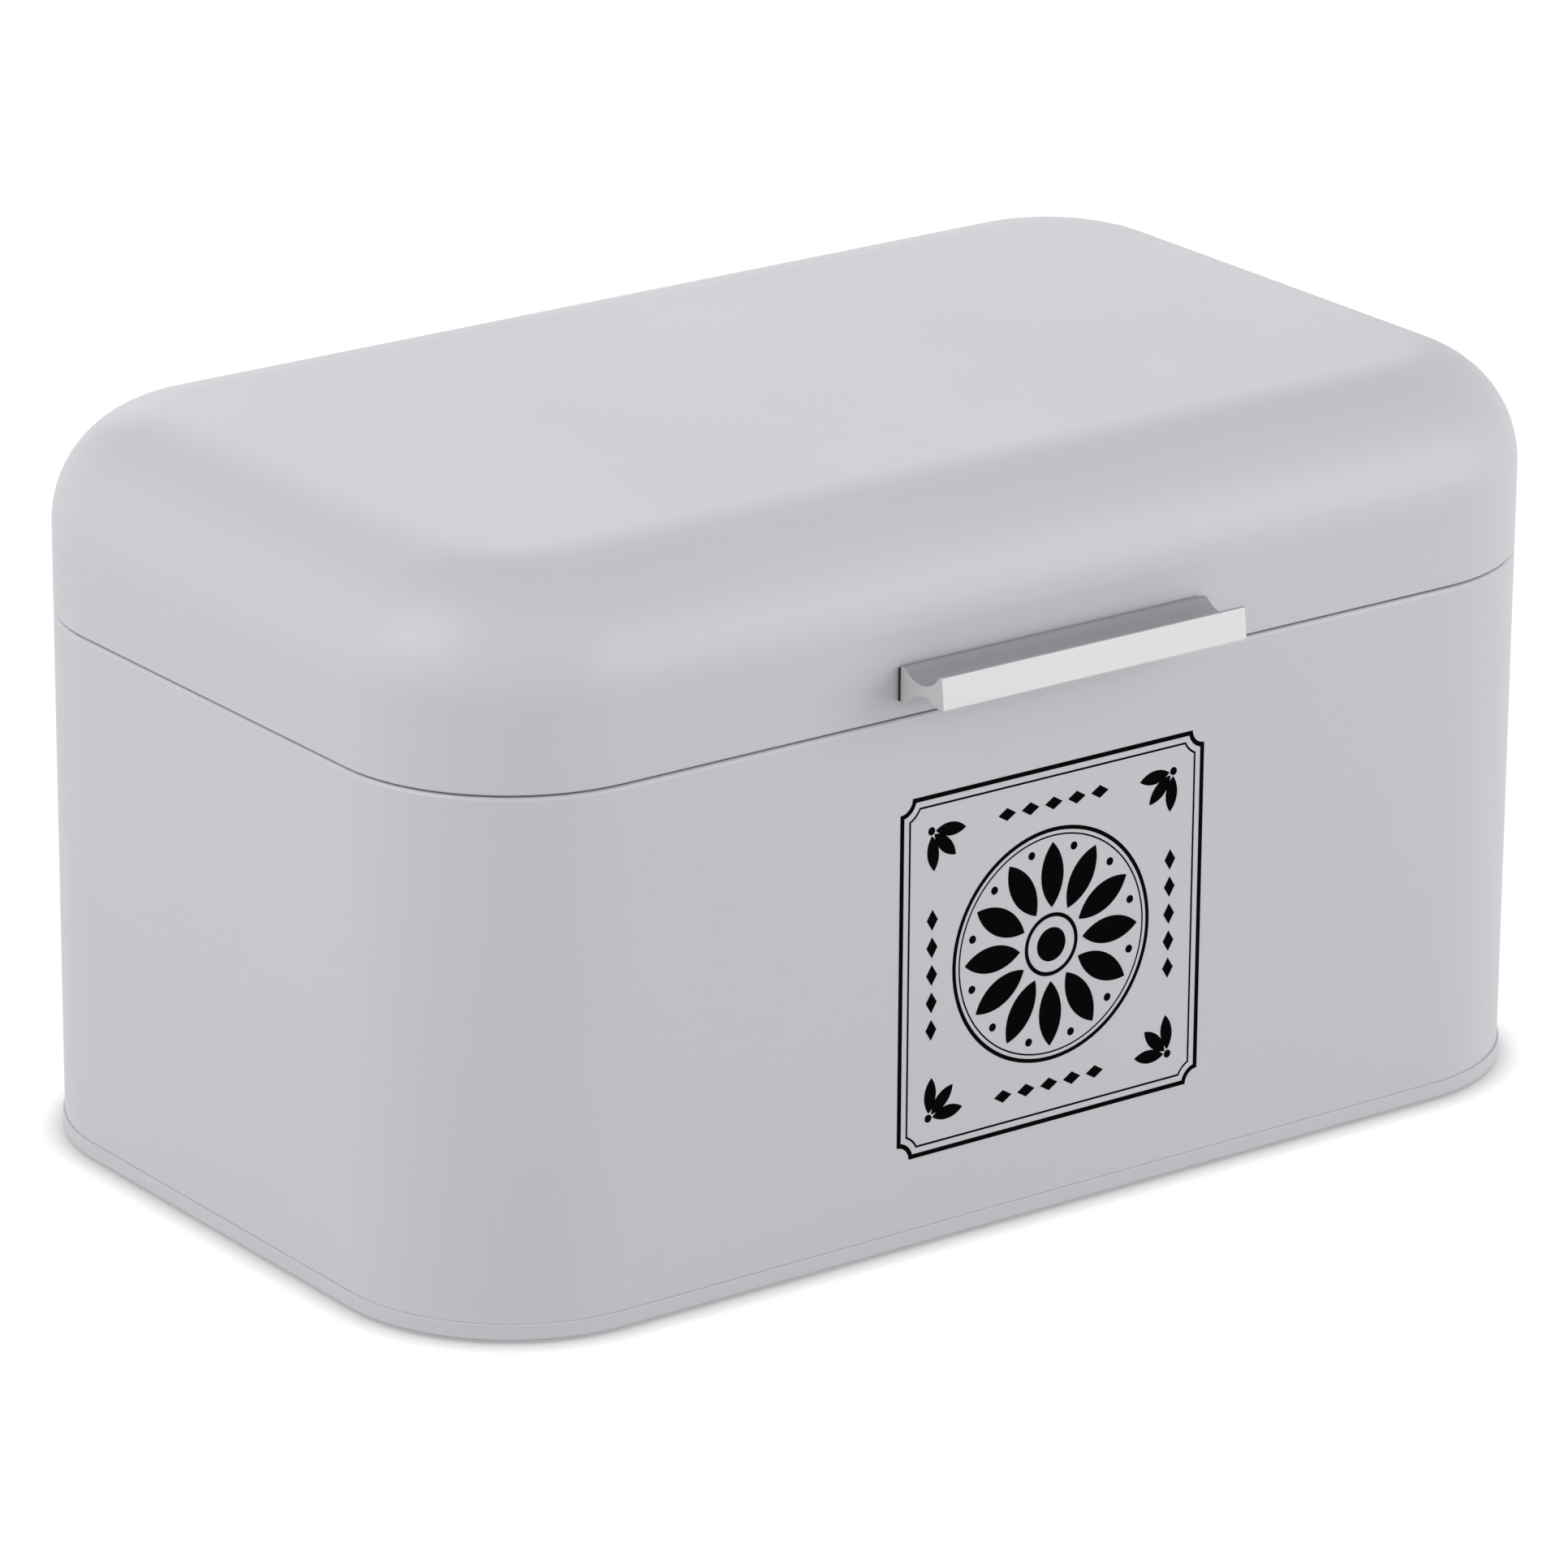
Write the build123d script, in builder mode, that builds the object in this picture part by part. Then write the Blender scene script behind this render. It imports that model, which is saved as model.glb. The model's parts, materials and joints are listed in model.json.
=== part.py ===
from build123d import *
from math import cos, radians, sin, tan
import os

os.makedirs("parts", exist_ok=True)

# Bread box of painted sheet steel with a drawn lid on two rear hinges.
# Millimetres. X runs along the front, -Y is the front, Z is up.
# The origin is under the middle of the box, on the plane of the feet.

# Outline seen from above, the same for the body's wall and the lid
box_length = 330.0
box_depth = 200.0
corner_radius = 44.5

# Height over the bottom of the rim, and the share of the lid, down to the middle of the seam
box_height = 180.0
lid_height = 49.0
seam_gap = 0.4

# Sheet steel, and the play between parts of one body that seat in each other
sheet = 0.7
pan_sheet = 0.5
seat_gap = 0.05

# Body: wall, shoulder and the neck that the lid drops over
shoulder_radius = 1.1
neck_gap = 0.6
neck_drop = 0.2
bead_width = 1.6
bead_height = 1.6
bead_radius = 0.7

# Air holes high in the rear wall, one row beside each hinge
vent_radius = 2.5
vent_count = 5
vent_pitch = 12.0
vent_centre_x = 45.0
vent_drop = 22.0

# Base pan: a rim clinched round the wall, and a recessed panel with a raised field
rim_height = 4.0
rim_fillet = 0.6
rim_top_fillet = 0.2
panel_recess = 3.0
field_inset = 30.0
field_rise = 1.2
field_taper = 45.0

# Rubber feet
foot_proud = 0.8
foot_radius = 6.0
foot_inset = 16.0
foot_fillet = 0.6

# Lid
lid_edge_radius = 28.0
hem_height = 4.6
hem_fillet = 0.5

# Handle: one extruded section. Reaches are taken off the lid, heights over the flange's foot
handle_length = 88.0
gasket_thickness = 1.0
gasket_inset = 0.7
flange_height = 8.5
flange_thickness = 1.4
handle_reach = 17.2
lip_setback = 0.9
lip_thickness = 0.8
lip_foot = 2.2
lip_top = 9.9
lip_bottom = 2.1
lip_fillet = 0.3
scoop_floor = 6.1
web_root = 3.6
web_root_height = 2.7
web_underside = 3.5

# Handle fixing: pan head screws through the lid from inside
screw_radius = 1.5
screw_length = 6.0
screw_inset = 12.0
screw_play = 0.2
screw_head_radius = 2.8
screw_head_height = 2.0
screw_head_round = 0.8
screw_slot_length = 2.8
screw_slot_width = 0.8
screw_slot_depth = 1.1
washer_radius = 3.5
washer_thickness = 0.5
washer_gap = 0.45
tip_gap = 0.3

# Hinges
hinge_pitch = 190.0
hinge_sheet = 1.5
pin_radius = 1.5
running_gap = 0.05
ear_wall = 2.65
eye_width = 14.0
side_gap = 0.3
pin_head_radius = 2.6
pin_head_height = 1.2
pin_head_round = 0.8
plate_width = 30.0
plate_corner = 3.0
bracket_height = 15.0
bracket_drop = 2.0
ear_height = 12.5
stop_reach = 9.2
stop_tip = 3.0
stop_fillet = 1.2
stop_gap = 0.3
open_angle = 100.0
leaf_height = 16.5
leaf_rise = 3.0
tongue_slope = 35.0
tongue_relief = 0.4
crank_radius = 2.25
curl_angle = 280.0

# Rivets of the hinges
rivet_radius = 1.5
rivet_head_radius = 2.6
rivet_head_height = 1.2
rivet_head_round = 0.8
rivet_tail_height = 0.9
bracket_rivet_pitch = 23.0
bracket_rivet_drop = 8.0
strap_rivet_pitch = 19.0
strap_rivet_rise = 13.5

# Levels, faces and planes that follow from the sizes
rim_z = foot_proud
wall_z = rim_z + pan_sheet
panel_z = rim_z + panel_recess
box_top = rim_z + box_height
seam_z = box_top - lid_height
shoulder_z = seam_z - seam_gap / 2
lid_z = seam_z + seam_gap / 2
rear_y = box_depth / 2
front_y = -box_depth / 2

neck_inset = 2 * sheet + neck_gap
neck_top = lid_z + hem_height - neck_drop
vent_z = shoulder_z - vent_drop

screw_z = lid_z + hem_height + washer_gap + washer_radius
handle_z = screw_z - flange_height / 2
screw_pitch = handle_length - 2 * screw_inset
screw_places = [("left", -screw_pitch / 2), ("right", screw_pitch / 2)]

lobe_radius = pin_radius + running_gap + ear_wall
hinge_offset = lobe_radius + stop_gap + hinge_sheet
axis_y = rear_y + hinge_offset
axis_z = seam_z
leaf_y = axis_y - hinge_offset + hinge_sheet
bracket_y = rear_y + hinge_sheet
bracket_rivet_z = axis_z - bracket_drop - bracket_rivet_drop
strap_rivet_z = axis_z + strap_rivet_rise
hinge_places = [("left", -hinge_pitch / 2), ("right", hinge_pitch / 2)]


# Plane that faces the front, at a given y
def facing_front(y):
    return Plane.XZ.offset(-y)


# Outline of the box, moved inwards by inset
def outline(inset, mode=Mode.ADD):
    return RectangleRounded(
        box_length - 2 * inset,
        box_depth - 2 * inset,
        corner_radius - inset,
        mode=mode,
    )


# Two places at pitch apart, one each side of x
def pair(x, z, pitch):
    return [(x - pitch / 2, z), (x + pitch / 2, z)]


# Body wall: one sheet with a shoulder and a neck, open at both ends
with BuildPart() as body_wall:
    with BuildSketch(Plane.XY.offset(wall_z)):
        outline(0)
    extrude(amount=shoulder_z - wall_z)
    fillet(body_wall.faces().sort_by(Axis.Z)[-1].edges(), shoulder_radius)
    with BuildSketch(Plane.XY.offset(shoulder_z - sheet)):
        outline(neck_inset)
    extrude(amount=neck_top - shoulder_z + sheet)
    ends = body_wall.faces().filter_by(Axis.Z).sort_by(Axis.Z)
    offset(amount=-sheet, openings=[ends[0], ends[-1]], kind=Kind.INTERSECTION)
    # Bead rolled inwards at the top of the neck
    with BuildSketch(Plane.XY.offset(neck_top - bead_height)):
        outline(neck_inset)
        outline(neck_inset + bead_width, mode=Mode.SUBTRACT)
    extrude(amount=bead_height)
    fillet(body_wall.faces().sort_by(Axis.Z)[-1].edges(), bead_radius)
    # Holes for the bracket rivets, and the air holes between the hinges
    with BuildSketch(facing_front(rear_y)):
        for name, x in hinge_places:
            with Locations(*pair(x, bracket_rivet_z, bracket_rivet_pitch)):
                Circle(rivet_radius + seat_gap)
        for x in (-vent_centre_x, vent_centre_x):
            with Locations((x, vent_z)):
                with GridLocations(vent_pitch, 0, vent_count, 1):
                    Circle(vent_radius)
    extrude(amount=2 * sheet, mode=Mode.SUBTRACT)
body_wall.part.label = "body_wall"
export_step(body_wall.part, "parts/body_wall.step")

# Base pan: a channel at its edge holds the wall, and its panel stands off the worktop
with BuildPart() as base_pan:
    with BuildSketch(Plane.XY.offset(rim_z)):
        outline(-seat_gap - pan_sheet)
    extrude(amount=rim_height)
    fillet(base_pan.faces().sort_by(Axis.Z)[-1].edges(), rim_top_fillet)
    # Hollow above the panel, up to the wall's inner face
    with BuildSketch(Plane.XY.offset(panel_z + pan_sheet)):
        outline(sheet + seat_gap)
    extrude(amount=rim_height, mode=Mode.SUBTRACT)
    # Slot that the wall stands in
    with BuildSketch(Plane.XY.offset(wall_z)):
        outline(-seat_gap)
        outline(sheet + seat_gap, mode=Mode.SUBTRACT)
    extrude(amount=rim_height, mode=Mode.SUBTRACT)
    # Recess under the panel
    with BuildSketch(Plane.XY.offset(rim_z)):
        outline(sheet + seat_gap + pan_sheet)
    extrude(amount=panel_recess, mode=Mode.SUBTRACT)
    fillet(base_pan.faces().sort_by(Axis.Z)[0].edges(), rim_fillet)
    # Field pressed up in the panel to stiffen it
    with BuildSketch(Plane.XY.offset(panel_z)):
        outline(field_inset)
    extrude(amount=pan_sheet + field_rise, taper=field_taper)
    with BuildSketch(Plane.XY.offset(panel_z)):
        outline(field_inset + pan_sheet)
    extrude(amount=field_rise, taper=field_taper, mode=Mode.SUBTRACT)
base_pan.part.label = "base_pan"
export_step(base_pan.part, "parts/base_pan.step")

# Rubber feet, stuck to the panel in its four corners
foot_turn = radians(45)
foot_x = box_length / 2 - corner_radius + (corner_radius - foot_inset) * cos(foot_turn)
foot_y = box_depth / 2 - corner_radius + (corner_radius - foot_inset) * sin(foot_turn)
foot_places = [
    ("front_left", -foot_x, -foot_y),
    ("front_right", foot_x, -foot_y),
    ("rear_left", -foot_x, foot_y),
    ("rear_right", foot_x, foot_y),
]
for name, x, y in foot_places:
    with BuildPart() as foot:
        with BuildSketch(Plane.XY):
            with Locations((x, y)):
                Circle(foot_radius)
        extrude(amount=panel_z)
        fillet(foot.faces().sort_by(Axis.Z)[0].edges(), foot_fillet)
    foot.part.label = f"foot_{name}"
    export_step(foot.part, f"parts/foot_{name}.step")

# Lid: one drawn shell with a deep rounded edge and a hem folded inwards
with BuildPart() as lid_shell:
    with BuildSketch(Plane.XY.offset(lid_z)):
        outline(0)
    extrude(amount=box_top - lid_z)
    fillet(lid_shell.faces().sort_by(Axis.Z)[-1].edges(), lid_edge_radius)
    offset(amount=-sheet, openings=lid_shell.faces().sort_by(Axis.Z)[0])
    with BuildSketch(Plane.XY.offset(lid_z)):
        outline(sheet / 2)
        outline(2 * sheet, mode=Mode.SUBTRACT)
    extrude(amount=hem_height)
    fillet(lid_shell.faces().sort_by(Axis.Z)[0].edges(), hem_fillet)
    # Holes for the handle screws and the strap rivets
    with BuildSketch(facing_front(front_y)):
        with Locations(*pair(0, screw_z, screw_pitch)):
            Circle(screw_radius + screw_play)
    extrude(amount=-2 * sheet, mode=Mode.SUBTRACT)
    with BuildSketch(facing_front(rear_y)):
        for name, x in hinge_places:
            with Locations(*pair(x, strap_rivet_z, strap_rivet_pitch)):
                Circle(rivet_radius + seat_gap)
    extrude(amount=2 * sheet, mode=Mode.SUBTRACT)
lid_shell.part.label = "lid_shell"
export_step(lid_shell.part, "parts/lid_shell.step")


# A point of the handle's section, from its reach off the lid and its height
def grip(reach, height):
    return (front_y - reach, handle_z + height)


# Handle: flange, concave thumb scoop, upright lip and a shallow finger scoop below
flange_face = gasket_thickness + flange_thickness
lip_crest = handle_reach - lip_setback
lip_back = lip_crest - lip_thickness
lip_heel = handle_reach - lip_foot
web_start = flange_face + web_root
screw_tip = screw_length - washer_thickness - sheet
with BuildPart() as handle:
    with BuildSketch(Plane.YZ.offset(-handle_length / 2)):
        with BuildLine():
            Polyline(
                grip(web_start, web_root_height),
                grip(flange_face, 0),
                grip(gasket_thickness, 0),
                grip(gasket_thickness, flange_height),
                grip(flange_face, flange_height),
            )
            ThreePointArc(
                grip(flange_face, flange_height),
                grip((flange_face + lip_back) / 2, scoop_floor),
                grip(lip_back, lip_top),
            )
            Polyline(
                grip(lip_back, lip_top),
                grip(lip_crest, lip_top),
                grip(handle_reach, lip_bottom),
                grip(lip_heel, lip_bottom),
            )
            ThreePointArc(
                grip(lip_heel, lip_bottom),
                grip((lip_heel + web_start) / 2, web_underside),
                grip(web_start, web_root_height),
            )
        make_face()
    extrude(amount=handle_length)
    fillet(handle.edges().filter_by(Axis.X).sort_by(Axis.Y)[:4], lip_fillet)
    with BuildSketch(facing_front(front_y - gasket_thickness)):
        with Locations(*pair(0, screw_z, screw_pitch)):
            Circle(screw_radius + seat_gap)
    extrude(amount=screw_tip + tip_gap - gasket_thickness, mode=Mode.SUBTRACT)
handle.part.label = "handle"
export_step(handle.part, "parts/handle.step")

# Gasket strip between the handle and the lid
with BuildPart() as handle_gasket:
    with BuildSketch(facing_front(front_y)):
        with Locations((0, handle_z + (flange_height - gasket_inset) / 2)):
            Rectangle(handle_length, flange_height - gasket_inset)
        with Locations(*pair(0, screw_z, screw_pitch)):
            Circle(screw_radius + screw_play, mode=Mode.SUBTRACT)
    extrude(amount=gasket_thickness)
handle_gasket.part.label = "handle_gasket"
export_step(handle_gasket.part, "parts/handle_gasket.step")

# Screws and washers of the handle, put in from inside the lid
washer_y = front_y + sheet
head_y = washer_y + washer_thickness
for name, x in screw_places:
    with BuildPart() as screw:
        with BuildSketch(facing_front(head_y)):
            with Locations((x, screw_z)):
                Circle(screw_radius)
        extrude(amount=screw_length)
        with BuildSketch(facing_front(head_y)):
            with Locations((x, screw_z)):
                Circle(screw_head_radius)
        extrude(amount=-screw_head_height)
        fillet(screw.faces().sort_by(Axis.Y)[-1].edges(), screw_head_round)
        with BuildSketch(facing_front(head_y + screw_head_height)):
            with Locations((x, screw_z)):
                Rectangle(screw_slot_length, screw_slot_width)
                Rectangle(screw_slot_width, screw_slot_length)
        extrude(amount=screw_slot_depth, mode=Mode.SUBTRACT)
    screw.part.label = f"handle_screw_{name}"
    export_step(screw.part, f"parts/handle_screw_{name}.step")

    with BuildPart() as washer:
        with BuildSketch(facing_front(washer_y)):
            with Locations((x, screw_z)):
                Circle(washer_radius)
                Circle(screw_radius + seat_gap, mode=Mode.SUBTRACT)
        extrude(amount=-washer_thickness)
    washer.part.label = f"handle_washer_{name}"
    export_step(washer.part, f"parts/handle_washer_{name}.step")

# Hinge sections are drawn across the pin, from its axis. Outline of an ear:
stop_turn = radians(open_angle)
stop_start = Vector(-cos(stop_turn), sin(stop_turn)) * lobe_radius
stop_end = stop_start + Vector(sin(stop_turn), cos(stop_turn)) * stop_reach
stop_foot = stop_end - Vector(0, stop_tip)
ear_root = bracket_y - axis_y - hinge_sheet / 2
ear_face = bracket_y - axis_y

# Middle line of the strap's tongue: down the leaf, cranked out, curled round the pin
curl_radius = pin_radius + running_gap + hinge_sheet / 2
crank_turn = 90.0 - tongue_slope
tongue_y = hinge_sheet / 2 - hinge_offset
tongue_way = Vector(cos(radians(tongue_slope)), -sin(radians(tongue_slope)))
curl_start = Vector(cos(radians(crank_turn)), sin(radians(crank_turn))) * curl_radius
crank_z = curl_start.Y + (curl_start.X - tongue_y) * tan(radians(tongue_slope))
crank_top = crank_z + crank_radius * tan(radians(crank_turn / 2))

for name, x in hinge_places:
    eye_side = Plane(origin=(x - eye_width / 2, axis_y, axis_z), x_dir=(0, 1, 0), z_dir=(1, 0, 0))
    ear_side = eye_side.offset(-side_gap - hinge_sheet)
    pin_span = eye_width + 2 * (side_gap + hinge_sheet)

    # Bracket: a plate on the rear wall, with two ears that carry the pin and stop the lid
    with BuildPart() as bracket:
        with BuildSketch(ear_side):
            Circle(lobe_radius)
            with BuildLine():
                Polyline(
                    stop_start,
                    stop_end,
                    stop_foot,
                    (ear_face, -bracket_drop - ear_height),
                    (ear_root, -bracket_drop - ear_height),
                    (ear_root, -bracket_drop),
                    close=True,
                )
            make_face()
        extrude(amount=hinge_sheet)
        fillet(bracket.edges().filter_by(Axis.X).sort_by(Axis.Y)[-2:], stop_fillet)
        mirror(about=Plane.YZ.offset(x))
        with BuildSketch(facing_front(bracket_y)):
            with Locations((x, axis_z - bracket_drop - bracket_height / 2)):
                RectangleRounded(plate_width, bracket_height, plate_corner)
            with Locations(*pair(x, bracket_rivet_z, bracket_rivet_pitch)):
                Circle(rivet_radius + seat_gap, mode=Mode.SUBTRACT)
        extrude(amount=hinge_sheet)
        with BuildSketch(ear_side):
            Circle(pin_radius + running_gap)
        extrude(amount=pin_span, mode=Mode.SUBTRACT)
    bracket.part.label = f"hinge_bracket_{name}"
    export_step(bracket.part, f"parts/hinge_bracket_{name}.step")

    # Strap: a leaf on the lid, whose tongue is cranked out and curled round the pin
    with BuildPart() as strap:
        with BuildSketch(facing_front(leaf_y)):
            with Locations((x, axis_z + leaf_rise + leaf_height / 2)):
                RectangleRounded(plate_width, leaf_height, plate_corner)
            with Locations((x, axis_z + crank_top)):
                Rectangle(
                    eye_width + 2 * tongue_relief,
                    leaf_height,
                    align=(Align.CENTER, Align.MAX),
                    mode=Mode.SUBTRACT,
                )
            with Locations(*pair(x, strap_rivet_z, strap_rivet_pitch)):
                Circle(rivet_radius + seat_gap, mode=Mode.SUBTRACT)
        extrude(amount=hinge_sheet)
        with BuildSketch(eye_side):
            with BuildLine():
                down = Line((tongue_y, leaf_rise + leaf_height - plate_corner), (tongue_y, crank_top))
                crank = JernArc(down @ 1, (0, -1), crank_radius, crank_turn)
                slope = Line(crank @ 1, curl_start)
                JernArc(slope @ 1, tongue_way, curl_radius, -curl_angle)
            trace(line_width=hinge_sheet)
        extrude(amount=eye_width)
    strap.part.label = f"hinge_strap_{name}"
    export_step(strap.part, f"parts/hinge_strap_{name}.step")

    # Pin: a rod through the ears and the eye, with a formed head at each end
    with BuildPart() as pin:
        with BuildSketch(ear_side):
            Circle(pin_radius)
        extrude(amount=pin_span)
        with BuildSketch(ear_side):
            Circle(pin_head_radius)
        extrude(amount=-pin_head_height)
        fillet(pin.faces().sort_by(Axis.X)[0].edges(), pin_head_round)
        with BuildSketch(ear_side.offset(pin_span)):
            Circle(pin_head_radius)
        extrude(amount=pin_head_height)
        fillet(pin.faces().sort_by(Axis.X)[-1].edges(), pin_head_round)
    pin.part.label = f"hinge_pin_{name}"
    export_step(pin.part, f"parts/hinge_pin_{name}.step")

    # Rivets: a domed head on the hinge, a flat formed tail inside the box
    for group, z, pitch, outer_y, inner_y in (
        ("bracket_rivets", bracket_rivet_z, bracket_rivet_pitch, bracket_y, rear_y - sheet),
        ("strap_rivets", strap_rivet_z, strap_rivet_pitch, leaf_y, rear_y - sheet),
    ):
        with BuildPart() as rivets:
            with BuildSketch(facing_front(outer_y)):
                with Locations(*pair(x, z, pitch)):
                    Circle(rivet_radius)
            extrude(amount=outer_y - inner_y)
            with BuildSketch(facing_front(inner_y)):
                with Locations(*pair(x, z, pitch)):
                    Circle(rivet_head_radius)
            extrude(amount=rivet_tail_height)
            with BuildSketch(facing_front(outer_y)):
                with Locations(*pair(x, z, pitch)):
                    Circle(rivet_head_radius)
            extrude(amount=-rivet_head_height)
            fillet(rivets.faces().group_by(Axis.Y)[-1].edges(), rivet_head_round)
        rivets.part.label = f"{group}_{name}"
        export_step(rivets.part, f"parts/{group}_{name}.step")
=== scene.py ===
import json
from math import asin, copysign, cos, pi, radians, sin, tau

import bmesh
import bpy
from mathutils import Matrix, Vector


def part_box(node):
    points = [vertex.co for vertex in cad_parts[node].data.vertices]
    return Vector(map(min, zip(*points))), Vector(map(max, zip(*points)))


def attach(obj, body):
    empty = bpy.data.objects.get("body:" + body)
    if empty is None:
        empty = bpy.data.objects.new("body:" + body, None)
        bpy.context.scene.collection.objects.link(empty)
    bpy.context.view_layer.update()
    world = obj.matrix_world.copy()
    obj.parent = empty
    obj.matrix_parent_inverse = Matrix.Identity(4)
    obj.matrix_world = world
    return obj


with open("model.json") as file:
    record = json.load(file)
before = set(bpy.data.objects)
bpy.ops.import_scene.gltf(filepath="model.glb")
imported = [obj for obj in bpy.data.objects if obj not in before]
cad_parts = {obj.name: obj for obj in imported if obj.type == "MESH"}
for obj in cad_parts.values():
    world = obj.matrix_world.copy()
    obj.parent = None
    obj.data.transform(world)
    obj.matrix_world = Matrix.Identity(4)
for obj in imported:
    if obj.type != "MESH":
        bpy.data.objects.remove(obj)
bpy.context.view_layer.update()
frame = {"nodes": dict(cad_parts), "record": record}
print("Frame loaded:", len(frame["nodes"]), "packed parts")


# Small helper for meshes

def makePiece(name, bm, material, body):
    mesh = bpy.data.meshes.new(name)
    bm.to_mesh(mesh)
    bm.free()
    mesh.polygons.foreach_set("use_smooth", [False] * len(mesh.polygons))
    mesh.materials.append(material)
    piece = bpy.data.objects.new(name, mesh)
    bpy.context.scene.collection.objects.link(piece)
    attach(piece, body)


# Small helpers for materials

def startMaterial(name):
    material = bpy.data.materials.new(name)
    material.use_nodes = True
    nodes = material.node_tree.nodes
    links = material.node_tree.links
    return material, nodes, links, nodes["Principled BSDF"]


def startGroup(name, inputs, outputs):
    group = bpy.data.node_groups.new(name, "ShaderNodeTree")
    for label, kind, value in inputs:
        socket = group.interface.new_socket(label, in_out="INPUT", socket_type=kind)
        if value is not None:
            socket.default_value = value
    for label in outputs:
        group.interface.new_socket(label, in_out="OUTPUT", socket_type="NodeSocketFloat")
    nodes = group.nodes
    inside = nodes.new("NodeGroupInput").outputs
    outside = nodes.new("NodeGroupOutput").inputs
    return group, nodes, group.links, inside, outside


def placeGroup(nodes, links, group, values, point=None):
    node = nodes.new("ShaderNodeGroup")
    node.node_tree = group
    for label, value in values.items():
        node.inputs[label].default_value = value
    if point is not None:
        links.new(point, node.inputs["Vector"])
    return node.outputs


def setOrLink(links, socket, value):
    # a number is set on the socket, an output is linked to it
    if isinstance(value, (int, float)):
        socket.default_value = value
    else:
        links.new(value, socket)


def addMath(nodes, links, operation, first, second):
    node = nodes.new("ShaderNodeMath")
    node.operation = operation
    setOrLink(links, node.inputs[0], first)
    setOrLink(links, node.inputs[1], second)
    return node.outputs[0]


def addRange(nodes, links, value, fromLow, fromHigh, toLow, toHigh):
    node = nodes.new("ShaderNodeMapRange")
    ends = {"From Min": fromLow, "From Max": fromHigh, "To Min": toLow, "To Max": toHigh}
    for label, end in ends.items():
        setOrLink(links, node.inputs[label], end)
    links.new(value, node.inputs["Value"])
    return node.outputs["Result"]


def scaleVector(nodes, links, vector, share):
    node = nodes.new("ShaderNodeVectorMath")
    node.operation = "SCALE"
    links.new(vector, node.inputs[0])
    links.new(share, node.inputs["Scale"])
    return node.outputs[0]


def divideVector(nodes, links, vector, size):
    # coordinates counted in multiples of a size in metres
    return scaleVector(nodes, links, vector, addMath(nodes, links, "DIVIDE", 1.0, size))


def addNoise(nodes, links, vector, detail, roughness=0.5):
    node = nodes.new("ShaderNodeTexNoise")
    node.inputs["Scale"].default_value = 1.0
    node.inputs["Detail"].default_value = detail
    node.inputs["Roughness"].default_value = roughness
    links.new(vector, node.inputs["Vector"])
    return node.outputs["Fac"]


def mixColour(nodes, links, factor, first, second):
    node = nodes.new("ShaderNodeMix")
    node.data_type = "RGBA"
    links.new(factor, node.inputs["Factor"])
    for label, colour in (("A", first), ("B", second)):
        if isinstance(colour, tuple):
            node.inputs[label].default_value = (*colour, 1.0)
        else:
            links.new(colour, node.inputs[label])
    return node.outputs["Result"]


def scaleColour(colour, share):
    return tuple(min(1.0, channel * share) for channel in colour)


def addBump(nodes, links, shader, height, depth):
    bump = nodes.new("ShaderNodeBump")
    bump.inputs["Strength"].default_value = 1.0
    bump.inputs["Distance"].default_value = depth
    links.new(height, bump.inputs["Height"])
    links.new(bump.outputs["Normal"], shader.inputs["Normal"])


def addRoughness(nodes, links, shader, blotches, finish):
    roughness = addRange(nodes, links, blotches, *finish["blotchRange"], *finish["roughness"])
    links.new(roughness, shader.inputs["Roughness"])


# painted shade in gaps and grooves: the colour is darkened where the surface is enclosed
def addPaintedRecessShade(nodes, links, shader, colour, finish):
    paintedShadeInRecess = placeGroup(nodes, links, paintedRecessShade, finish["paintedShadeInRecess"])
    shaded = scaleVector(nodes, links, colour, paintedShadeInRecess["Share"])
    links.new(shaded, shader.inputs["Base Color"])


# Shared effects: each is one node group, placed with its own values in every finish that has it

effects = {
    "patchRoughness": 0.55,
    "patchRange": (0.32, 0.68),  # of the noise, from outside a patch to inside it
    "bendRange": (0.995, 0.85),  # likeness of true and rounded normals, from a flat to a worn edge
    "breakRange": (0.35, 0.6),   # of the noise, from the least wear to the full wear
    "leastWear": 0.3,
    "roundingSamples": 4,
    "opennessSamples": 8,
    "lineRoughness": 0.6,
}


def buildCoatTexture():
    # the gentle waves and the fine grain of a baked coat
    inputs = [("Vector", "NodeSocketVector", None), ("Wave Size", "NodeSocketFloat", 0.002),
              ("Grain Size", "NodeSocketFloat", 0.0004), ("Grain Share", "NodeSocketFloat", 0.2)]
    group, nodes, links, inside, outside = startGroup("coatTexture", inputs, ["Height", "Grain"])
    wavePoint = divideVector(nodes, links, inside["Vector"], inside["Wave Size"])
    grainPoint = divideVector(nodes, links, inside["Vector"], inside["Grain Size"])
    waves = addNoise(nodes, links, wavePoint, detail=1.0)
    grain = addNoise(nodes, links, grainPoint, detail=2.0)
    grainPart = addMath(nodes, links, "MULTIPLY", grain, inside["Grain Share"])
    links.new(addMath(nodes, links, "ADD", waves, grainPart), outside["Height"])
    links.new(grain, outside["Grain"])
    return group


def buildSoftMottle():
    # broad, soft patches, as handling and wiping leave them
    inputs = [("Vector", "NodeSocketVector", None), ("Patch Size", "NodeSocketFloat", 0.05)]
    group, nodes, links, inside, outside = startGroup("softMottle", inputs, ["Mask"])
    patchPoint = divideVector(nodes, links, inside["Vector"], inside["Patch Size"])
    patches = addNoise(nodes, links, patchPoint, detail=3.0, roughness=effects["patchRoughness"])
    links.new(addRange(nodes, links, patches, *effects["patchRange"], 0.0, 1.0), outside["Mask"])
    return group


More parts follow.
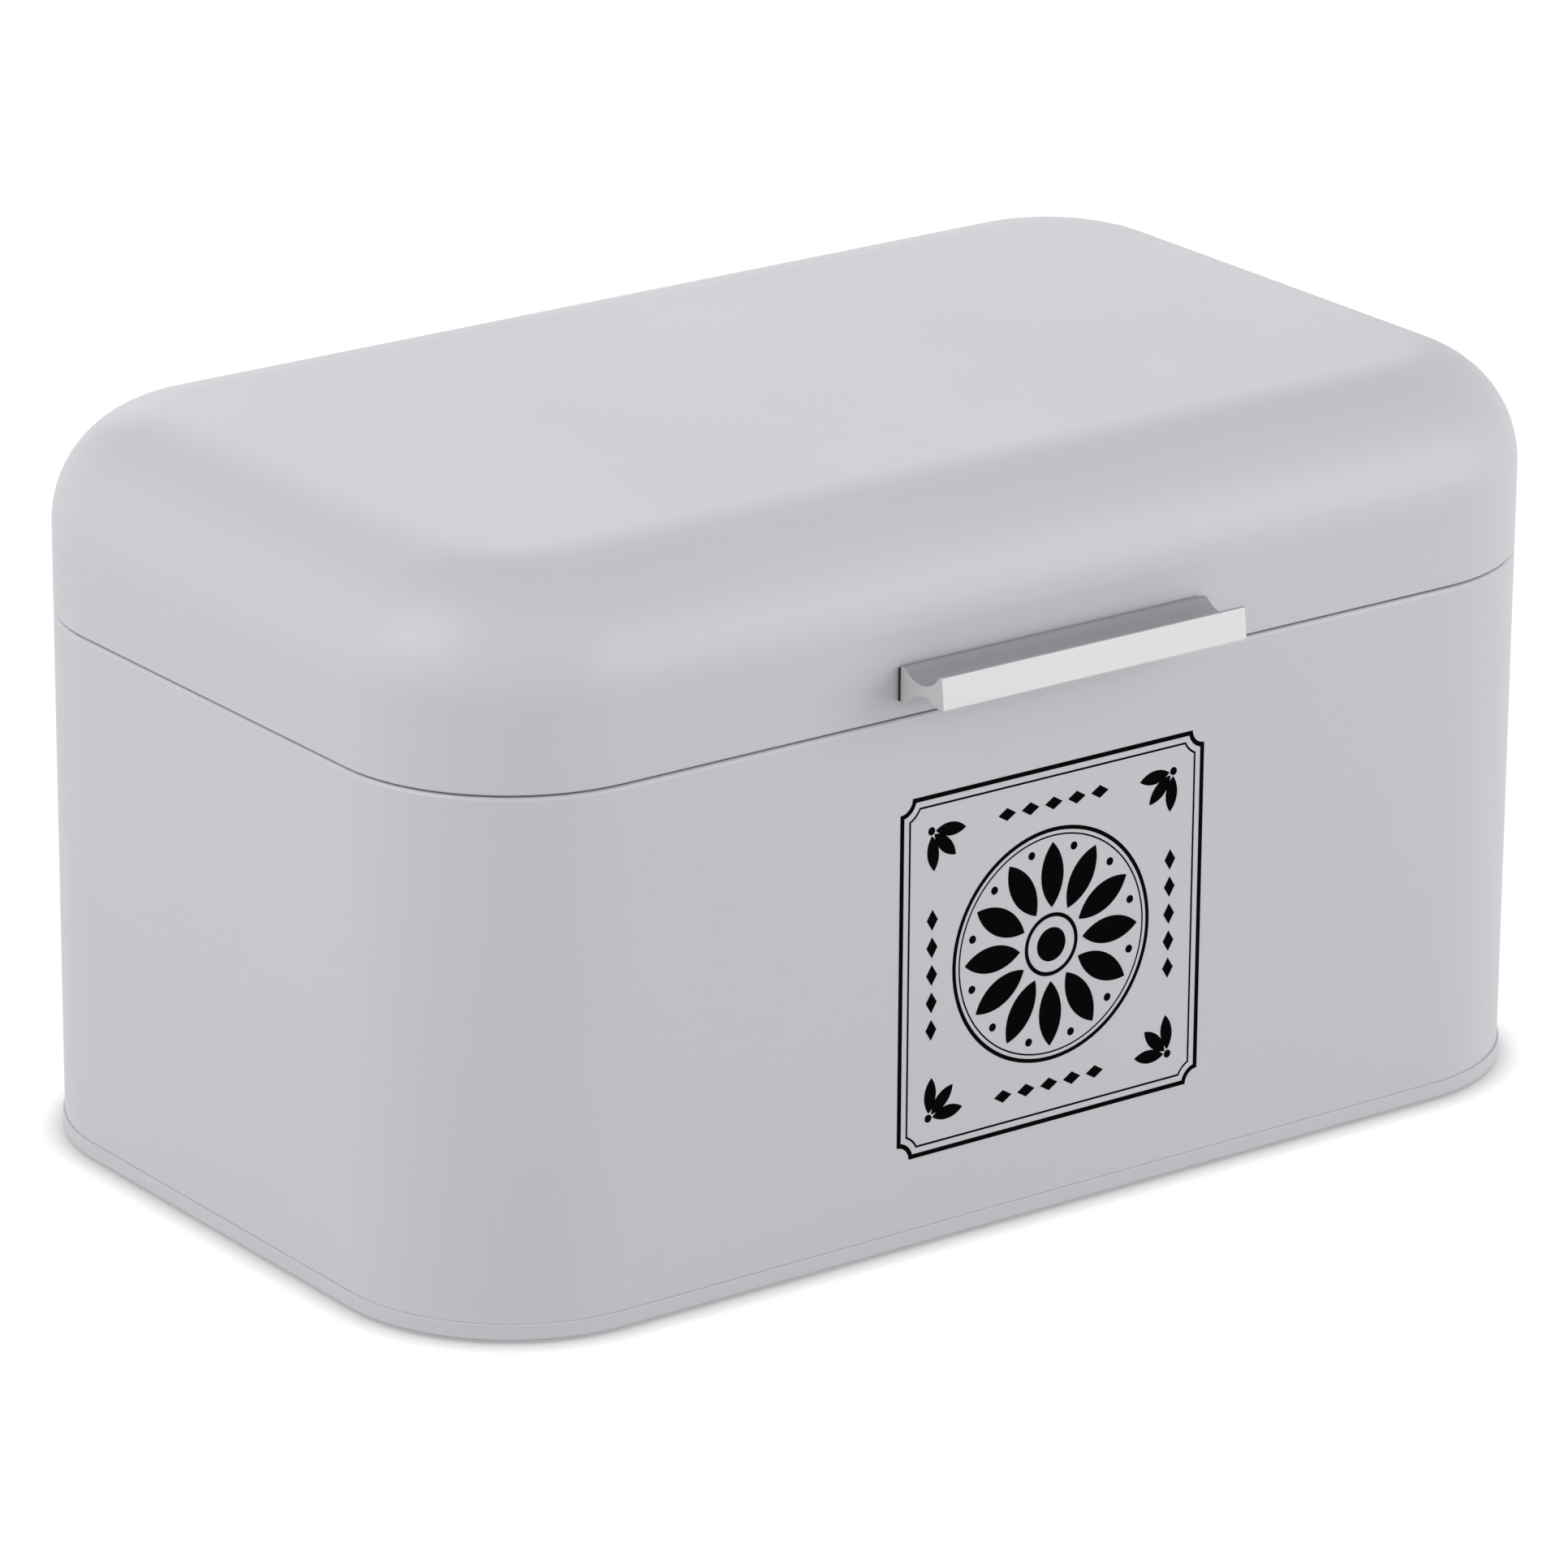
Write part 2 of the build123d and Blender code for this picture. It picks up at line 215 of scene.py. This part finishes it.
def buildEdgeWear():
    # where a surface bends sharply within a radius, broken up by a little noise
    inputs = [("Vector", "NodeSocketVector", None), ("Radius", "NodeSocketFloat", 0.0006),
              ("Break Size", "NodeSocketFloat", 0.004)]
    group, nodes, links, inside, outside = startGroup("edgeWear", inputs, ["Mask"])
    rounded = nodes.new("ShaderNodeBevel")
    rounded.samples = effects["roundingSamples"]
    links.new(inside["Radius"], rounded.inputs["Radius"])
    likeness = nodes.new("ShaderNodeVectorMath")
    likeness.operation = "DOT_PRODUCT"
    links.new(rounded.outputs["Normal"], likeness.inputs[0])
    links.new(nodes.new("ShaderNodeNewGeometry").outputs["Normal"], likeness.inputs[1])
    bend = addRange(nodes, links, likeness.outputs["Value"], *effects["bendRange"], 0.0, 1.0)
    breakPoint = divideVector(nodes, links, inside["Vector"], inside["Break Size"])
    breaks = addNoise(nodes, links, breakPoint, detail=3.0)
    wear = addRange(nodes, links, breaks, *effects["breakRange"], effects["leastWear"], 1.0)
    links.new(addMath(nodes, links, "MULTIPLY", bend, wear), outside["Mask"])
    return group


def buildPaintedRecessShade():
    # painted shade: what is left of a colour in gaps and grooves, darker the less open the surface is
    inputs = [("Reach", "NodeSocketFloat", 0.003), ("Open From", "NodeSocketFloat", 0.5),
              ("Open To", "NodeSocketFloat", 1.0), ("Deepest Share", "NodeSocketFloat", 0.7)]
    group, nodes, links, inside, outside = startGroup("paintedRecessShade", inputs, ["Share"])
    openness = nodes.new("ShaderNodeAmbientOcclusion")
    openness.samples = effects["opennessSamples"]
    links.new(inside["Reach"], openness.inputs["Distance"])
    share = addRange(nodes, links, openness.outputs["AO"], inside["Open From"], inside["Open To"],
                     inside["Deepest Share"], 1.0)
    links.new(share, outside["Share"])
    return group


def buildDrawnLines():
    # fine lines along X, as drawing, rolling or brushing leaves them
    inputs = [("Vector", "NodeSocketVector", None), ("Line Width", "NodeSocketFloat", 0.0003),
              ("Line Length", "NodeSocketFloat", 0.04)]
    group, nodes, links, inside, outside = startGroup("drawnLines", inputs, ["Height"])
    parts = nodes.new("ShaderNodeSeparateXYZ")
    links.new(inside["Vector"], parts.inputs[0])
    joined = nodes.new("ShaderNodeCombineXYZ")
    for axis, size in (("X", "Line Length"), ("Y", "Line Width"), ("Z", "Line Width")):
        links.new(addMath(nodes, links, "DIVIDE", parts.outputs[axis], inside[size]), joined.inputs[axis])
    lines = addNoise(nodes, links, joined.outputs[0], detail=3.0, roughness=effects["lineRoughness"])
    links.new(lines, outside["Height"])
    return group


coatTexture = buildCoatTexture()
softMottle = buildSoftMottle()
edgeWear = buildEdgeWear()
paintedRecessShade = buildPaintedRecessShade()
drawnLines = buildDrawnLines()
# the key in a finish for each effect's inputs
effectKeys = (
    (coatTexture, {"Wave Size": "waveSize", "Grain Size": "grainSize", "Grain Share": "grainShare"}),
    (drawnLines, {"Line Width": "lineWidth", "Line Length": "lineLength"}),
    (softMottle, {"Patch Size": "patchSize"}),
    (edgeWear, {"Radius": "edgeRadius"}),
)
print("Shared effects built")


# Finishes. The painted shade in a recess goes from its deepest share at Open From to the full colour at
# Open To

steelPaint = {
    "colour": (0.650, 0.641, 0.684),
    "toneShare": 0.985,          # the darker patches, as a share of the colour
    "edgeShare": 1.04,           # the thin coat along sharp edges
    # painted shade in the seam under the lid and in other narrow gaps
    "paintedShadeInRecess": {"Reach": 0.0012, "Open From": 0.1, "Open To": 0.65, "Deepest Share": 0.55},
    "roughness": (0.36, 0.44),
    "blotchRange": (0.2, 1.6),   # of patches and grain together, over which the roughness changes
    "waveSize": 0.0022,
    "grainSize": 0.00035,
    "grainShare": 0.15,
    "coatDepth": 0.000005,
    "patchSize": 0.09,
    "edgeRadius": 0.0005,
}


def startFinish(name, finish):
    # a material with those shared effects that the finish has the values for
    material, nodes, links, shader = startMaterial(name)
    point = nodes.new("ShaderNodeTexCoord").outputs["Object"]
    placed = {}
    for group, keys in effectKeys:
        if all(key in finish for key in keys.values()):
            values = {label: finish[key] for label, key in keys.items()}
            placed[group.name] = placeGroup(nodes, links, group, values, point)
    return material, nodes, links, shader, placed


def makePaintedSteel():
    material, nodes, links, shader, placed = startFinish("paintedSteel", steelPaint)
    coat, patches, edges = placed["coatTexture"], placed["softMottle"], placed["edgeWear"]
    patchColour = scaleColour(steelPaint["colour"], steelPaint["toneShare"])
    edgeColour = scaleColour(steelPaint["colour"], steelPaint["edgeShare"])
    tone = mixColour(nodes, links, patches["Mask"], patchColour, steelPaint["colour"])
    tone = mixColour(nodes, links, edges["Mask"], tone, edgeColour)
    addPaintedRecessShade(nodes, links, shader, tone, steelPaint)
    blotches = addMath(nodes, links, "ADD", patches["Mask"], coat["Grain"])
    addRoughness(nodes, links, shader, blotches, steelPaint)
    addBump(nodes, links, shader, coat["Height"], steelPaint["coatDepth"])
    return material


handleFinish = {
    "colour": (0.685, 0.685, 0.685),
    "paintedUpwardShade": (0.420, 0.417, 0.450),    # painted shade and reflection: the faces that look up, the grip's channel, darker and tinted like the lid's paint
    "paintedUpwardShadeRange": (0.2, 0.45),   # how far a face looks up, from none of that colour to all of it
    "metallic": 0.3,             # a matt anodised skin on the metal
    "edgeShare": 1.05,
    # painted shade in the grip's channel and along the lid
    "paintedShadeInRecess": {"Reach": 0.003, "Open From": 0.4, "Open To": 1.0, "Deepest Share": 0.6},
    "roughness": (0.30, 0.40),
    "blotchRange": (0.3, 1.6),   # of patches and lines together
    "lineWidth": 0.00025,
    "lineLength": 0.1,
    "lineDepth": 0.0000006,
    "patchSize": 0.02,
    "edgeRadius": 0.0004,
}
hingeFinish = {
    "colour": (0.60, 0.60, 0.61),
    "metallic": 1.0,
    "edgeShare": 1.15,
    # painted shade in the hinge's gaps
    "paintedShadeInRecess": {"Reach": 0.002, "Open From": 0.4, "Open To": 1.0, "Deepest Share": 0.7},
    "roughness": (0.30, 0.44),
    "blotchRange": (0.3, 1.6),
    "lineWidth": 0.0003,
    "lineLength": 0.02,
    "lineDepth": 0.000004,
    "patchSize": 0.008,
    "edgeRadius": 0.0004,
}
zincFinish = {
    "colour": (0.68, 0.68, 0.69),
    "metallic": 1.0,
    "edgeShare": 1.12,
    # painted shade round the small plated parts
    "paintedShadeInRecess": {"Reach": 0.001, "Open From": 0.4, "Open To": 1.0, "Deepest Share": 0.75},
    "roughness": (0.29, 0.40),
    "blotchRange": (0.3, 1.6),
    "lineWidth": 0.0002,
    "lineLength": 0.0006,
    "lineDepth": 0.0000015,
    "patchSize": 0.003,
    "edgeRadius": 0.0002,
}


# painted shade and reflection on the faces that look up, by the object's own normal
def addPaintedUpwardShade(nodes, links, tone, finish):
    facing = nodes.new("ShaderNodeSeparateXYZ")
    links.new(nodes.new("ShaderNodeTexCoord").outputs["Normal"], facing.inputs[0])
    upwardShadeMask = addRange(nodes, links, facing.outputs["Z"], *finish["paintedUpwardShadeRange"], 0.0, 1.0)
    return mixColour(nodes, links, upwardShadeMask, tone, finish["paintedUpwardShade"])


def makeMetal(name, finish):
    material, nodes, links, shader, placed = startFinish(name, finish)
    lines, patches, edges = placed["drawnLines"], placed["softMottle"], placed["edgeWear"]
    edgeColour = scaleColour(finish["colour"], finish["edgeShare"])
    tone = mixColour(nodes, links, edges["Mask"], finish["colour"], edgeColour)
    # the grip's channel gets its painted shade and reflection here
    if "paintedUpwardShade" in finish:
        tone = addPaintedUpwardShade(nodes, links, tone, finish)
    addPaintedRecessShade(nodes, links, shader, tone, finish)
    shader.inputs["Metallic"].default_value = finish["metallic"]
    blotches = addMath(nodes, links, "ADD", patches["Mask"], lines["Height"])
    addRoughness(nodes, links, shader, blotches, finish)
    addBump(nodes, links, shader, lines["Height"], finish["lineDepth"])
    return material


rubberFinish = {
    "colour": (0.022, 0.022, 0.023),
    "paleShare": 1.7,            # dusty patches
    "roughness": (0.55, 0.75),
    "blotchRange": (0.3, 0.7),   # of the grain
    "specular": 0.3,
    "waveSize": 0.0012,
    "grainSize": 0.00025,
    "grainShare": 0.6,
    "grainDepth": 0.00001,
    "patchSize": 0.006,
}
inkFinish = {
    "colour": (0.0016, 0.0016, 0.0017),
    "paleShare": 2.0,
    "roughness": (0.62, 0.78),
    "blotchRange": (0.3, 0.7),
    "specular": 0.008,
    "waveSize": 0.0009,
    "grainSize": 0.0002,
    "grainShare": 0.5,
    "grainDepth": 0.000004,
}


def makeDarkCoat(name, finish):
    # rubber is paler in its dusty patches, ink with its grain
    material, nodes, links, shader, placed = startFinish(name, finish)
    coat = placed["coatTexture"]
    paler = placed["softMottle"]["Mask"] if "patchSize" in finish else coat["Grain"]
    paleColour = scaleColour(finish["colour"], finish["paleShare"])
    links.new(mixColour(nodes, links, paler, finish["colour"], paleColour), shader.inputs["Base Color"])
    shader.inputs["Specular IOR Level"].default_value = finish["specular"]
    addRoughness(nodes, links, shader, coat["Grain"], finish)
    addBump(nodes, links, shader, coat["Height"], finish["grainDepth"])
    return material


finishOfSlot = {
    "painted_steel": makePaintedSteel(),
    "handle_metal": makeMetal("satinHandleMetal", handleFinish),
    "hinge_steel": makeMetal("brushedHingeSteel", hingeFinish),
    "plated_steel": makeMetal("brightZincPlate", zincFinish),
    "rubber": makeDarkCoat("blackRubber", rubberFinish),
}
printInk = makeDarkCoat("printInk", inkFinish)
for part in frame["record"]["subparts"]:
    for materialSlot in frame["nodes"][part["node"]].material_slots:
        materialSlot.material = finishOfSlot[part["material_slot"]]
print("Finishes made and given to the packed parts")


# The print on the body's front: a double rule with scooped corners round a rosette

printedPanel = {
    "left": -0.0429,
    "right": 0.0462,
    "bottom": 0.0225,
    "top": 0.1115,
    "scoopRadius": 0.0035,
    "scoopSteps": 10,
    "rules": ((0.0, 0.00115), (0.00255, 0.00305)),    # inset of each rule's outer and inner edge
    "inkThickness": 0.00005,
    "inkProud": 0.00004,
    "rings": ((0.0290, 0.0010), (0.0272, 0.0004), (0.0078, 0.0010)),    # radius, width
    "ringSteps": 96,
    "dotSteps": 32,
    "centreDot": 0.0042,
    "petals": 12,
    "petalFrom": 0.0092,
    "petalTo": 0.0254,
    "petalWidth": 0.0066,
    "petalSteps": 32,
    "beadPlace": 0.0240,         # between the petals' tips
    "beadRadius": 0.0010,
    "sprigPlace": 0.0355,        # from the rosette's middle, along X and Z
    "sprigHeading": 225.0,       # back towards the rosette
    "sprigTurns": (-40.0, 0.0, 40.0),
    "sprigFrom": 0.0012,
    "sprigTo": 0.0100,
    "sprigWidth": 0.0034,
    "lozengesPerSide": 5,
    "lozengePitch": 0.0068,
    "lozengeReach": (0.0026, 0.0016),
    "lozengeRow": 0.0350,        # from the rosette's middle
}


def bridgeNewLoops(bm, before):
    loops = [edge for edge in bm.edges if edge not in before]
    bmesh.ops.bridge_loops(bm, edges=loops)


def addScoopedLoop(bm, inset):
    # straight sides, and arcs about the panel's corners whose radius grows by the inset
    left, right = printedPanel["left"], printedPanel["right"]
    bottom, top = printedPanel["bottom"], printedPanel["top"]
    radius = printedPanel["scoopRadius"] + inset
    lean = asin(inset / radius)
    ends = []
    for x, z, turn in ((right, top, 270), (left, top, 0), (left, bottom, 90), (right, bottom, 180)):
        angle = radians(turn) - lean
        first = bm.verts.new((x + radius * cos(angle), z + radius * sin(angle), 0))
        arc = bmesh.ops.spin(bm, geom=[first], cent=(x, z, 0), axis=(0, 0, 1),
                             angle=2 * lean - pi / 2, steps=printedPanel["scoopSteps"])
        ends.append((first, arc["geom_last"][0]))
    for (_, last), (following, _) in zip(ends, ends[1:] + ends[:1]):
        bm.edges.new((last, following))


def addRules(bm):
    for outer, inner in printedPanel["rules"]:
        before = set(bm.edges)
        addScoopedLoop(bm, outer)
        addScoopedLoop(bm, inner)
        bridgeNewLoops(bm, before)


def addRing(bm, centre, radius, width):
    before = set(bm.edges)
    for reach in (radius, radius - width):
        bmesh.ops.create_circle(bm, segments=printedPanel["ringSteps"], radius=reach, matrix=centre)
    bridgeNewLoops(bm, before)


def addDot(bm, place, radius):
    bmesh.ops.create_circle(bm, cap_ends=True, segments=printedPanel["dotSteps"], radius=radius,
                            matrix=place)


def addPetal(bm, place, start, end, width):
    # a disc pressed into a leaf along local X: two equal arcs that meet in a point at each end
    half = (end - start) / 2
    bend = (half ** 2 + width ** 2 / 4) / width
    disc = bmesh.ops.create_circle(bm, cap_ends=True, segments=printedPanel["petalSteps"], radius=half)
    leaf = disc["verts"]
    for vert in leaf:
        reach = max(0.0, (bend ** 2 - vert.co.x ** 2) ** 0.5 - bend + width / 2)
        vert.co.y = copysign(reach, vert.co.y)
        vert.co.x += start + half
    bmesh.ops.transform(bm, matrix=place, verts=leaf)


def addRosette(bm, middle):
    for radius, width in printedPanel["rings"]:
        addRing(bm, middle, radius, width)
    addDot(bm, middle, printedPanel["centreDot"])
    step = tau / printedPanel["petals"]
    for index in range(printedPanel["petals"]):
        place = middle @ Matrix.Rotation(index * step, 4, "Z")
        addPetal(bm, place, printedPanel["petalFrom"], printedPanel["petalTo"], printedPanel["petalWidth"])
        between = place @ Matrix.Rotation(step / 2, 4, "Z")
        bead = between @ Matrix.Translation((printedPanel["beadPlace"], 0, 0))
        addDot(bm, bead, printedPanel["beadRadius"])


def addSprig(bm, quarter):
    corner = quarter @ Matrix.Translation((printedPanel["sprigPlace"], printedPanel["sprigPlace"], 0))
    addDot(bm, corner, printedPanel["beadRadius"])
    for turn in printedPanel["sprigTurns"]:
        place = corner @ Matrix.Rotation(radians(printedPanel["sprigHeading"] + turn), 4, "Z")
        addPetal(bm, place, printedPanel["sprigFrom"], printedPanel["sprigTo"], printedPanel["sprigWidth"])


def addLozenges(bm, quarter):
    lozenge = Matrix.Diagonal((*printedPanel["lozengeReach"], 1, 1))
    count = printedPanel["lozengesPerSide"]
    for index in range(count):
        x = (index - (count - 1) / 2) * printedPanel["lozengePitch"]
        place = quarter @ Matrix.Translation((x, printedPanel["lozengeRow"], 0)) @ lozenge
        bmesh.ops.create_circle(bm, cap_ends=True, segments=4, radius=1.0, matrix=place)


def makeFrontPrint():
    bm = bmesh.new()
    addRules(bm)
    middle = Matrix.Translation(((printedPanel["left"] + printedPanel["right"]) / 2,
                                 (printedPanel["bottom"] + printedPanel["top"]) / 2, 0))
    addRosette(bm, middle)
    for index in range(4):
        quarter = middle @ Matrix.Rotation(index * pi / 2, 4, "Z")
        addSprig(bm, quarter)
        addLozenges(bm, quarter)
    for face in bm.faces:
        face.normal_update()
        if face.normal.z < 0:
            face.normal_flip()
    bmesh.ops.solidify(bm, geom=bm.faces[:], thickness=printedPanel["inkThickness"])
    # upright, with the ink's back a little inside the wall's front
    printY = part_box("body_wall")[0].y - printedPanel["inkProud"]
    upright = Matrix.Translation((0, printY, 0)) @ Matrix.Rotation(pi / 2, 4, "X")
    bmesh.ops.transform(bm, matrix=upright, verts=bm.verts[:])
    makePiece("front_print", bm, printInk, "base")


makeFrontPrint()
print("Front print made")


# Camera, at the photograph's viewing angle

view = {
    "turn": -36.446,
    "rise": 19.778,
    "roll": 0.395,
    "distance": 2.10456,
    "target": (-0.00219, 0.0, 0.07809),
    "focalLength": 200.56,       # millimetres, on the sensor's width
    "sensorWidth": 36.0,
    "nearest": 0.05,
    "farthest": 30.0,
}


def makeCamera():
    data = bpy.data.cameras.new("studioCamera")
    data.sensor_width = view["sensorWidth"]
    data.lens = view["focalLength"]
    data.clip_start = view["nearest"]
    data.clip_end = view["farthest"]
    camera = bpy.data.objects.new("studioCamera", data)
    bpy.context.scene.collection.objects.link(camera)
    turned = Matrix.Rotation(radians(view["turn"]), 4, "Z")
    turned = turned @ Matrix.Rotation(radians(90 - view["rise"]), 4, "X")
    turned = turned @ Matrix.Rotation(radians(view["roll"]), 4, "Z")
    back = turned @ Vector((0, 0, 1))
    place = Vector(view["target"]) + back * view["distance"]
    camera.matrix_world = Matrix.Translation(place) @ turned
    bpy.context.scene.camera = camera


# Studio: a white floor that keeps the shadow, a white surround and soft lamps

floorLook = {
    "halfSize": 6.0,
    "colour": (0.50, 0.50, 0.50),
    "roughness": 0.9,
    "whiteShare": 0.7,           # how much of it is plain white where the camera, gloss or glass sees it
    "white": 1.30,
    "contactReach": 0.0062,      # how far from the box the close shadow reaches
    "contactRange": (0.38, 1.0), # openness from the deepest of it to the open floor
    "contactShade": 0.42,        # what is left of the white in the deepest of it
}


def makeWhite(nodes, links):
    # plain white, darker in a close shadow round the box
    contact = nodes.new("ShaderNodeAmbientOcclusion")
    contact.samples = effects["opennessSamples"]
    contact.inputs["Distance"].default_value = floorLook["contactReach"]
    level = addRange(nodes, links, contact.outputs["AO"], *floorLook["contactRange"],
                     floorLook["contactShade"], 1.0)
    white = nodes.new("ShaderNodeEmission")
    links.new(addMath(nodes, links, "MULTIPLY", level, floorLook["white"]), white.inputs["Strength"])
    return white.outputs[0]


def makeFloorMaterial():
    material, nodes, links, shader = startMaterial("studioFloor")
    shader.inputs["Base Color"].default_value = (*floorLook["colour"], 1.0)
    shader.inputs["Roughness"].default_value = floorLook["roughness"]
    shader.inputs["Specular IOR Level"].default_value = 0.0
    rays = nodes.new("ShaderNodeLightPath").outputs
    seen = addMath(nodes, links, "MAXIMUM", rays["Is Camera Ray"], rays["Is Glossy Ray"])
    seen = addMath(nodes, links, "MAXIMUM", seen, rays["Is Transmission Ray"])
    mixed = nodes.new("ShaderNodeMixShader")
    links.new(addMath(nodes, links, "MULTIPLY", seen, floorLook["whiteShare"]), mixed.inputs["Fac"])
    links.new(shader.outputs[0], mixed.inputs[1])
    links.new(makeWhite(nodes, links), mixed.inputs[2])
    links.new(mixed.outputs[0], nodes["Material Output"].inputs["Surface"])
    return material


def makeFloor():
    bm = bmesh.new()
    bmesh.ops.create_grid(bm, x_segments=1, y_segments=1, size=floorLook["halfSize"])
    mesh = bpy.data.meshes.new("studioFloor")
    bm.to_mesh(mesh)
    bm.free()
    mesh.materials.append(makeFloorMaterial())
    floor = bpy.data.objects.new("studioFloor", mesh)
    bpy.context.scene.collection.objects.link(floor)


surround = {
    "horizon": 1.025,            # white near the floor, dark overhead
    "overhead": 0.0,
}


def makeSurround():
    world = bpy.data.worlds.new("studioSurround")
    world.use_nodes = True
    nodes, links = world.node_tree.nodes, world.node_tree.links
    background = nodes["Background"]
    background.inputs["Color"].default_value = (1, 1, 1, 1)
    direction = nodes.new("ShaderNodeSeparateXYZ")
    links.new(nodes.new("ShaderNodeTexCoord").outputs["Generated"], direction.inputs[0])
    rise = addMath(nodes, links, "ARCSINE", direction.outputs["Z"], 0.0)
    level = addRange(nodes, links, rise, 0.0, pi / 2, surround["horizon"], surround["overhead"])
    links.new(level, background.inputs["Strength"])
    bpy.context.scene.world = world


lampAim = (0.0, 0.0, 0.09)       # about the box's middle
# turn is counted from the front towards the right, rise above the floor; size is the square's side
lamps = {
    "leftSoftbox": {"turn": -95, "rise": 35, "distance": 2.2, "size": 1.5, "power": 16.8},
    "rightSoftbox": {"turn": 38, "rise": 8, "distance": 2.2, "size": 1.8, "power": 21.6},
    "rearSoftbox": {"turn": 150, "rise": 25, "distance": 2.2, "size": 1.5, "power": 5.8},
}


def makeLamp(name, lamp):
    data = bpy.data.lights.new(name, "AREA")
    data.shape = "SQUARE"
    data.size = lamp["size"]
    data.energy = lamp["power"]
    light = bpy.data.objects.new(name, data)
    bpy.context.scene.collection.objects.link(light)
    turn, rise = radians(lamp["turn"]), radians(lamp["rise"])
    direction = Vector((sin(turn) * cos(rise), -cos(turn) * cos(rise), sin(rise)))
    light.location = Vector(lampAim) + direction * lamp["distance"]
    light.rotation_euler = direction.to_track_quat("Z", "Y").to_euler()


makeCamera()
makeFloor()
makeSurround()
for lampName, lampSettings in lamps.items():
    makeLamp(lampName, lampSettings)
bpy.context.scene.view_settings.view_transform = "Standard"
print("Camera, floor and lamps set")
